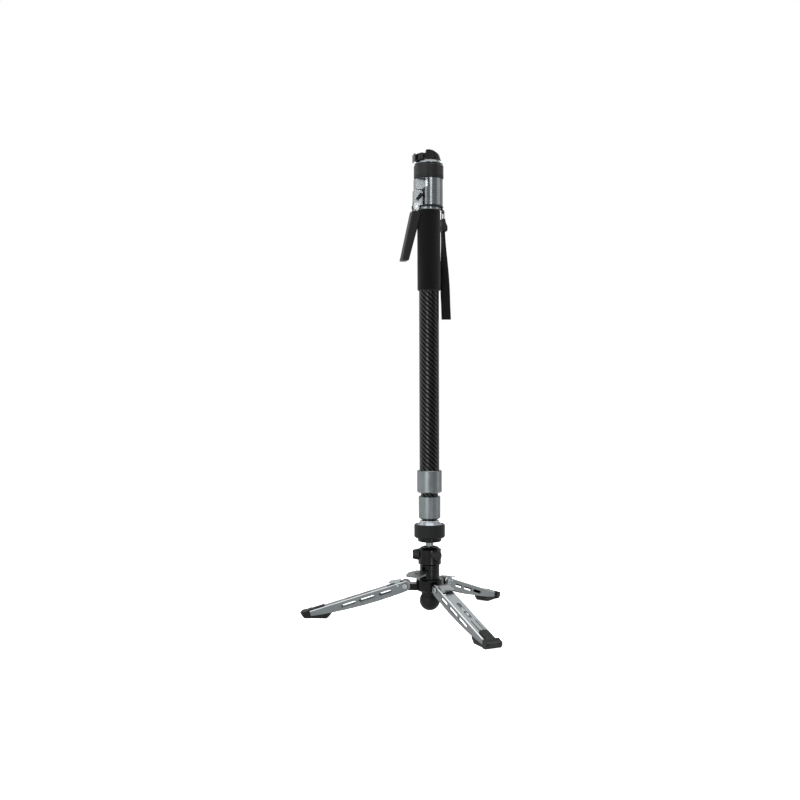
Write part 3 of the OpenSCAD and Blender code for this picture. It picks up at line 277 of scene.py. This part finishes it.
# polyester webbing: plain weave, ribs across the strap on its own UV map in metres
weave = dict(ribMm=1.1, yarnMm=1.5, dark="#040404", light="#101010", rough=0.85, specular=0.06,
             sheen=0.06, sheenRough=0.5, bump=0.7, bumpMm=0.25)


def makeWeave(s):
    mat, tree, shader = startMaterial("polyesterWebbing", {
        "Base Color": s["dark"], "Roughness": s["rough"], "Specular IOR Level": s["specular"],
        "Sheen Weight": s["sheen"], "Sheen Roughness": s["sheenRough"]})
    axes = splitAxes(tree, addNode(tree, "ShaderNodeTexCoord").outputs["UV"])
    waves = [calc(tree, "SINE", calc(tree, "MULTIPLY", axes[axis], math.pi / (pitch * mm)))
             for axis, pitch in (("X", s["yarnMm"]), ("Y", s["ribMm"]))]
    # yarns rise where both waves agree: their product, from -1 to 1
    height = spread(tree, calc(tree, "MULTIPLY", *waves), 0.0, 1.0, -1.0, 1.0)
    # painted shade: the yarns darker where they sink and lighter where they rise
    feed(tree, shader, {"Base Color": mixColors(tree, height, s["dark"], s["light"]),
                        "Normal": bumpFrom(tree, height, s)})
    return mat


materials["polyesterWebbing"] = makeWeave(weave)
print("finishes made:", ", ".join(sorted(materials)))

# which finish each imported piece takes
finishes = {
    "greyAnodised": "body tilt_ball neck_ring silver_ring lower_brake middle_brake pull_block",
    "blastedGrey": "pedal lower_collar upper_collar",
    "legPaintedBendHighlight": "leg_1 leg_2 leg_3",
    "paleAnodised": "latch_1 latch_2 latch_3 release_rod leg_bolts",
    "clearAnodised": "adapter",
    "housingPaintedHighlight": "trigger_housing",
    "armPaintedHighlight": "trigger_arm",
    "blackAnodised": "hub column socket socket_cap platform strap_eye split_ring",
    "glossBlack": "receiver jaw",
    "platedSteel": "pedal_pin latch_pin_1 latch_pin_2 latch_pin_3 lock_plunger trigger_pin receiver_screws",
    "mouldedRubber": "ball_foot foot_1 foot_2 foot_3 coupling_ring",
    "bloomedRubber": "lock_ring",
    "texturedAbs": "tilt_knob drag_knob trim_ring trigger_lock buckle lower_bush upper_bush",
    "filledNylon": "trigger_grip",
    "carbonTwill": "lower_tube middle_tube main_tube",
    "cellFoam": "foam_grip",
    "polyesterWebbing": "webbing",
}
for finish, names in finishes.items():
    for name in names.split():
        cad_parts[name].material_slots[0].material = materials[finish]


# grid of points to a mesh: rows run along u, columns along v, either may close on itself
def gridPiece(name, points, wrapU, wrapV, uv=None):
    rows, columns = points.shape[:2]
    index = np.arange(rows * columns).reshape(rows, columns)
    if wrapU:
        index = np.vstack([index, index[:1]])
    if wrapV:
        index = np.hstack([index, index[:, :1]])
    quads = np.stack([index[:-1, :-1], index[1:, :-1], index[1:, 1:], index[:-1, 1:]], axis=-1).reshape(-1, 4)
    mesh = bpy.data.meshes.new(name)
    mesh.from_pydata(points.reshape(-1, 3).tolist(), [], quads.tolist())
    if uv is not None:
        layer = mesh.uv_layers.new(name="flat")
        layer.data.foreach_set("uv", uv.reshape(-1, 2)[quads.ravel()].astype(np.float32).ravel())
    mesh.polygons.foreach_set("use_smooth", np.ones(len(mesh.polygons), dtype=bool))
    mesh.update()
    piece = bpy.data.objects.new(name, mesh)
    scene.collection.objects.link(piece)
    return piece


# foam sleeve: a closed ring profile turned about the pole, swelling a little between its ends;
# two ripples run round it in whole turns and climb by radians a metre
foam = dict(thickMm=2.4, seatMm=0.03, roundMm=1.6, swellMm=0.22, swellPower=0.5, rippleMm=0.05,
            rippleTurns=(3, 5), rippleClimb=(40, -90), skinMm=0.001, across=120, down=90)


def makeFoam(s):
    low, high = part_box("foam_grip")
    inner = (high[0] - low[0]) / 2 - (s["thickMm"] - s["seatMm"]) * mm
    t = np.linspace(0, 1, s["down"])
    length = high[2] - low[2]
    z = low[2] + length * t
    # quarter-round at both ends, then a low crown along the sleeve
    nearEnd = np.clip(1 - np.minimum(t, 1 - t) * length / (s["roundMm"] * mm), 0, 1)
    outer = inner + (s["thickMm"] - s["seatMm"] - s["roundMm"] * (1 - np.sqrt(1 - nearEnd ** 2))) * mm
    outer = outer + s["swellMm"] * mm * np.sin(math.pi * t) ** s["swellPower"]
    radius = np.concatenate([outer, [inner, inner]])
    level = np.concatenate([z, [high[2], low[2]]])
    angle = np.linspace(0, 2 * math.pi, s["across"], endpoint=False)
    r, a = np.meshgrid(radius, angle, indexing="ij")
    h = np.repeat(level[:, None], s["across"], axis=1)
    # the product of the two ripples, on the outside only
    waves = [np.sin(turns * a + climb * h) for turns, climb in zip(s["rippleTurns"], s["rippleClimb"])]
    r = r + np.where(r > inner + s["skinMm"] * mm, s["rippleMm"] * mm * waves[0] * waves[1], 0)
    points = np.stack([poleX + r * np.cos(a), poleY + r * np.sin(a), h], axis=-1)
    piece = gridPiece("foamSleeve", points[:, ::-1], True, True)
    piece.data.materials.append(materials["cellFoam"])
    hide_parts("foam_grip")
    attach(piece, "upper_section")


makeFoam(foam)

# wrist strap: one length of webbing, down, round a fold and up again, turning as it falls
strap = dict(widthMm=15, longMm=141, driftMm=5.2, startDeg=90, twistDeg=80, layerMm=1.05, thickMm=1.15,
             intoBuckleMm=3, downSteps=90, foldSteps=12, acrossSteps=9)


def makeStrap(s):
    low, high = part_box("split_ring")
    startX, startY, startZ = (low[0] + high[0]) / 2, (low[1] + high[1]) / 2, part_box("buckle")[0][2]
    down = np.linspace(-s["intoBuckleMm"], s["longMm"] - s["layerMm"], s["downSteps"])
    bend = np.linspace(0, math.pi, s["foldSteps"])[1:-1]
    # fall is the depth below the buckle, off the distance of the layer from the strap's middle
    fall = np.concatenate([down, down[-1] + s["layerMm"] * np.sin(bend), down[::-1]])
    off = np.concatenate([np.full(down.size, 1.0), np.cos(bend), np.full(down.size, -1.0)]) * s["layerMm"]
    t = np.clip(fall / s["longMm"], 0, 1)
    # the twist starts and ends gently: three squares less two cubes of the way down
    turn = np.radians(s["startDeg"] + s["twistDeg"] * (3 * t ** 2 - 2 * t ** 3))
    across = np.linspace(-0.5, 0.5, s["acrossSteps"]) * s["widthMm"]
    # widthwise along the turned line, layers along its normal
    x = startX / mm + s["driftMm"] * t[:, None] + across * np.cos(turn)[:, None] - (off * np.sin(turn))[:, None]
    y = startY / mm + across * np.sin(turn)[:, None] + (off * np.cos(turn))[:, None]
    z = startZ / mm - fall[:, None] + 0 * across
    points = np.stack([x, y, z], axis=-1) * mm
    # v is the length along the middle line
    stepLong = np.linalg.norm(np.diff(points[:, s["acrossSteps"] // 2], axis=0), axis=1)
    v = np.concatenate([[0], np.cumsum(stepLong)])
    uv = np.stack(np.broadcast_arrays(across * mm, v[:, None]), axis=-1)
    piece = gridPiece("wristStrap", points, False, False, uv)
    solid = piece.modifiers.new("webbingThickness", "SOLIDIFY")
    solid.thickness = s["thickMm"] * mm
    solid.offset = 0
    piece.data.materials.append(materials["polyesterWebbing"])
    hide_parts("webbing")
    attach(piece, "strap")


makeStrap(strap)
print("soft pieces made")

# white floor and surround; camera, glossy and transmission rays see plain white, the rest a dimmer sky
stage = dict(floorSize=14.0, floorBelow=0.0004, floorGlow=0.86, floorColor="#e8e8e8", floorRough=0.9,
             floorSpecular=0.1, skyLight=0.2)


def whiteRays(tree):
    path = addNode(tree, "ShaderNodeLightPath").outputs
    seen = calc(tree, "MAXIMUM", path["Is Camera Ray"], path["Is Glossy Ray"])
    return calc(tree, "MAXIMUM", seen, path["Is Transmission Ray"])


def setStage(s):
    world = bpy.data.worlds.new("studio")
    world.use_nodes = True
    scene.world = world
    tree = world.node_tree
    level = spread(tree, whiteRays(tree), s["skyLight"], 1.0)
    feed(tree, tree.nodes["Background"], {"Color": white, "Strength": level})
    half = s["floorSize"] / 2
    corners = np.array([[[-half, -half], [-half, half]], [[half, -half], [half, half]]])
    points = np.concatenate([corners, np.full((2, 2, 1), -s["floorBelow"])], axis=-1)
    floor = gridPiece("floor", points, False, False)
    # pale paper: matte backdrop that keeps the shadow
    mat, tree, shader = startMaterial("palePaper", {
        "Base Color": s["floorColor"], "Roughness": s["floorRough"], "Specular IOR Level": s["floorSpecular"],
        "Emission Color": white})
    feed(tree, shader, {"Emission Strength": calc(tree, "MULTIPLY", whiteRays(tree), s["floorGlow"])})
    floor.data.materials.append(mat)


# soft boxes round the pole: bearing from the camera's line (right is positive), distance, middle height, size, radiance
lamps = {
    "leftBox": dict(bearing=-88, distance=1.3, height=0.7, wide=1.9, tall=1.4, radiance=1.91),
    "lowStrip": dict(bearing=-31, distance=1.5, height=0.18, wide=0.8, tall=0.45, radiance=3.83),
    "highStrip": dict(bearing=19, distance=1.5, height=1.0, wide=0.18, tall=0.55, radiance=14.8),
    "midStrip": dict(bearing=-20, distance=1.5, height=0.44, wide=0.6, tall=0.46, radiance=10.4),
    "baseStrip": dict(bearing=21, distance=0.4, height=0.03, wide=0.05, tall=0.05, radiance=43.5),
    "highFill": dict(bearing=-33, distance=1.5, height=1.05, wide=0.75, tall=0.5, radiance=5.66),
    "rightBox": dict(bearing=88, distance=1.2, height=0.6, wide=0.7, tall=1.2, radiance=2),
    "backTop": dict(bearing=180, distance=0.9, height=1.4, wide=1.2, tall=0.8, radiance=4.52),
    "topBox": dict(bearing=0, distance=0.15, height=1.5, wide=1.2, tall=0.8, radiance=3.48),
}
# height on the pole that every lamp faces
lampAim = 0.4


def setLamps(boxes, aim):
    facing = math.radians(camera["azimuth"]) - math.pi / 2
    for name, s in boxes.items():
        data = bpy.data.lights.new(name, "AREA")
        data.shape = "RECTANGLE"
        data.size, data.size_y = s["wide"], s["tall"]
        # power of a flat lamp that shines with that radiance
        data.energy = s["radiance"] * math.pi * s["wide"] * s["tall"]
        lamp = bpy.data.objects.new(name, data)
        lamp.visible_camera = False
        angle = facing + math.radians(s["bearing"])
        lamp.location = (poleX + s["distance"] * math.cos(angle), poleY + s["distance"] * math.sin(angle), s["height"])
        gaze = np.array([poleX, poleY, aim]) - np.array(lamp.location)
        flat = math.hypot(gaze[0], gaze[1])
        lamp.rotation_euler = (math.atan2(flat, -gaze[2]), 0, math.atan2(gaze[1], gaze[0]) - math.pi / 2)
        scene.collection.objects.link(lamp)


setStage(stage)
setLamps(lamps, lampAim)
print("stage and lamps set")
